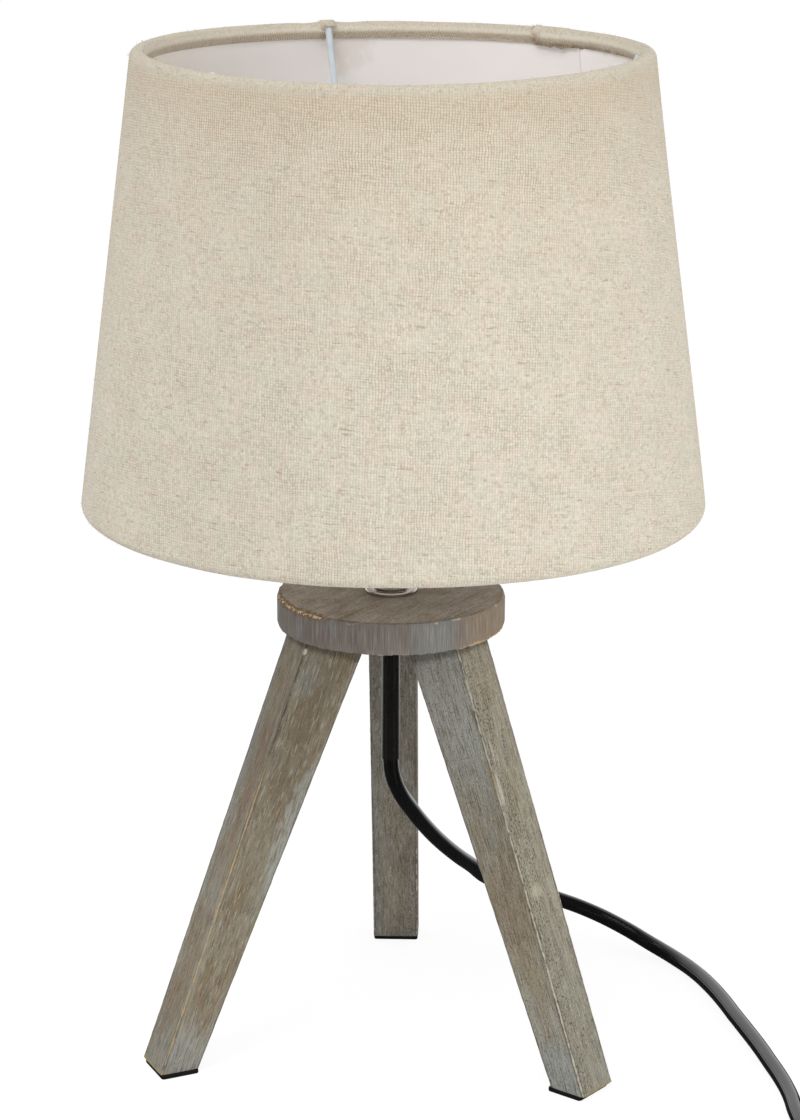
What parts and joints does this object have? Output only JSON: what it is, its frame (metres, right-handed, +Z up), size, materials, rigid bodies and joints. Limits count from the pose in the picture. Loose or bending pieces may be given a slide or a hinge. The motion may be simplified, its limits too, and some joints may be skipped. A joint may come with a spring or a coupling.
{
  "type": "tripod table lamp",
  "caption": "Small table lamp: tapered drum shade of natural linen on a washed-wood tripod, with a screw lampholder, a black cord, a rocker switch in the cord and a flat mains plug.",
  "frame": {"origin": "on the table under the lamp's axis, at the middle of the shade's footprint", "axes": "+Z up along the lamp's axis; -Y is the front, seen in the picture; +X is the side the cord leaves on"},
  "size_m": [0.3477, 0.219, 0.31],
  "materials": {
    "washed_wood": "grey-brown washed open grain",
    "dowel_wood": "bare beech",
    "foot_rubber": "matt",
    "nickel": "polished",
    "zinc_steel": "zinc plated",
    "holder_black": "satin moulded",
    "holder_ceramic": "matt white insulating block",
    "brass": "plain",
    "lead_brown": "satin",
    "lead_blue": "satin",
    "cord_black": "semi-gloss",
    "sleeve_black": "semi-gloss",
    "linen": "plain woven linen with slubs",
    "lining": "matt laminate lining",
    "white_wire": "white powder coat",
    "opal_glass": "opal",
    "cap_metal": "plain",
    "cap_glass": "black insulating glass",
    "switch_black": "semi-gloss moulded",
    "rocker_black": "semi-gloss moulded",
    "tie_black": "matt",
    "plug_black": "satin moulded",
    "pin_metal": "nickel plated",
    "pin_sleeve": "satin"
  },
  "bodies": {
    "base": {"base_disc": "washed_wood", "leg_left": "washed_wood", "leg_right": "washed_wood", "leg_back": "washed_wood", "leg_dowels": "dowel_wood", "foot_pad_left": "foot_rubber", "foot_pad_right": "foot_rubber", "foot_pad_back": "foot_rubber", "threaded_tube": "zinc_steel", "tube_nut": "zinc_steel", "collar_washer": "nickel", "neck_collar": "nickel", "holder_cap": "holder_black", "holder_lock_screw": "zinc_steel", "holder_shell": "holder_black", "holder_insert": "holder_ceramic", "screw_shell": "brass", "contact_centre": "brass", "contact_side": "brass", "terminal_screws": "zinc_steel", "lead_brown": "lead_brown", "lead_blue": "lead_blue", "cord_riser": "cord_black", "cord_sleeve": "sleeve_black", "cord_to_switch": "cord_black", "switch_lower": "switch_black", "switch_upper": "switch_black", "switch_contacts": "brass", "switch_leads": "lead_blue", "switch_screws": "zinc_steel", "cord_to_coil": "cord_black", "cord_coil": "cord_black", "coil_tie": "tie_black", "cord_to_plug": "cord_black", "plug_body": "plug_black", "plug_pins": "pin_metal", "plug_pin_sleeves": "pin_sleeve"},
    "shade": {"shade_fabric": "linen", "shade_liner": "lining", "shade_top_wire": "white_wire", "shade_bottom_wire": "white_wire", "shade_struts": "white_wire", "shade_fitter": "white_wire"},
    "shade_ring": {"shade_ring": "holder_black"},
    "bulb": {"bulb_globe": "opal_glass", "bulb_cap": "cap_metal", "bulb_insulator": "cap_glass", "bulb_contact": "cap_metal"},
    "rocker": {"switch_rocker": "rocker_black"}
  },
  "joints": [
    {"name": "shade_turn", "type": "hinge", "parent": "base", "child": "shade", "pos_m": [0, 0, 0.1962], "axis": [0, 0, 1], "continuous": true},
    {"name": "clamp_ring_turn", "type": "hinge", "parent": "base", "child": "shade_ring", "pos_m": [0, 0, 0.2019], "axis": [0, 0, 1], "range_deg": [0, 720]},
    {"name": "bulb_unscrew", "type": "slide", "parent": "base", "child": "bulb", "axis": [0, 0, 1], "range_m": [0, 0.024]},
    {"name": "switch_rock", "type": "hinge", "parent": "base", "child": "rocker", "pos_m": [0.172, -0.035, 0.013], "axis": [1, 0, 0], "range_deg": [0, 14]}
  ]
}
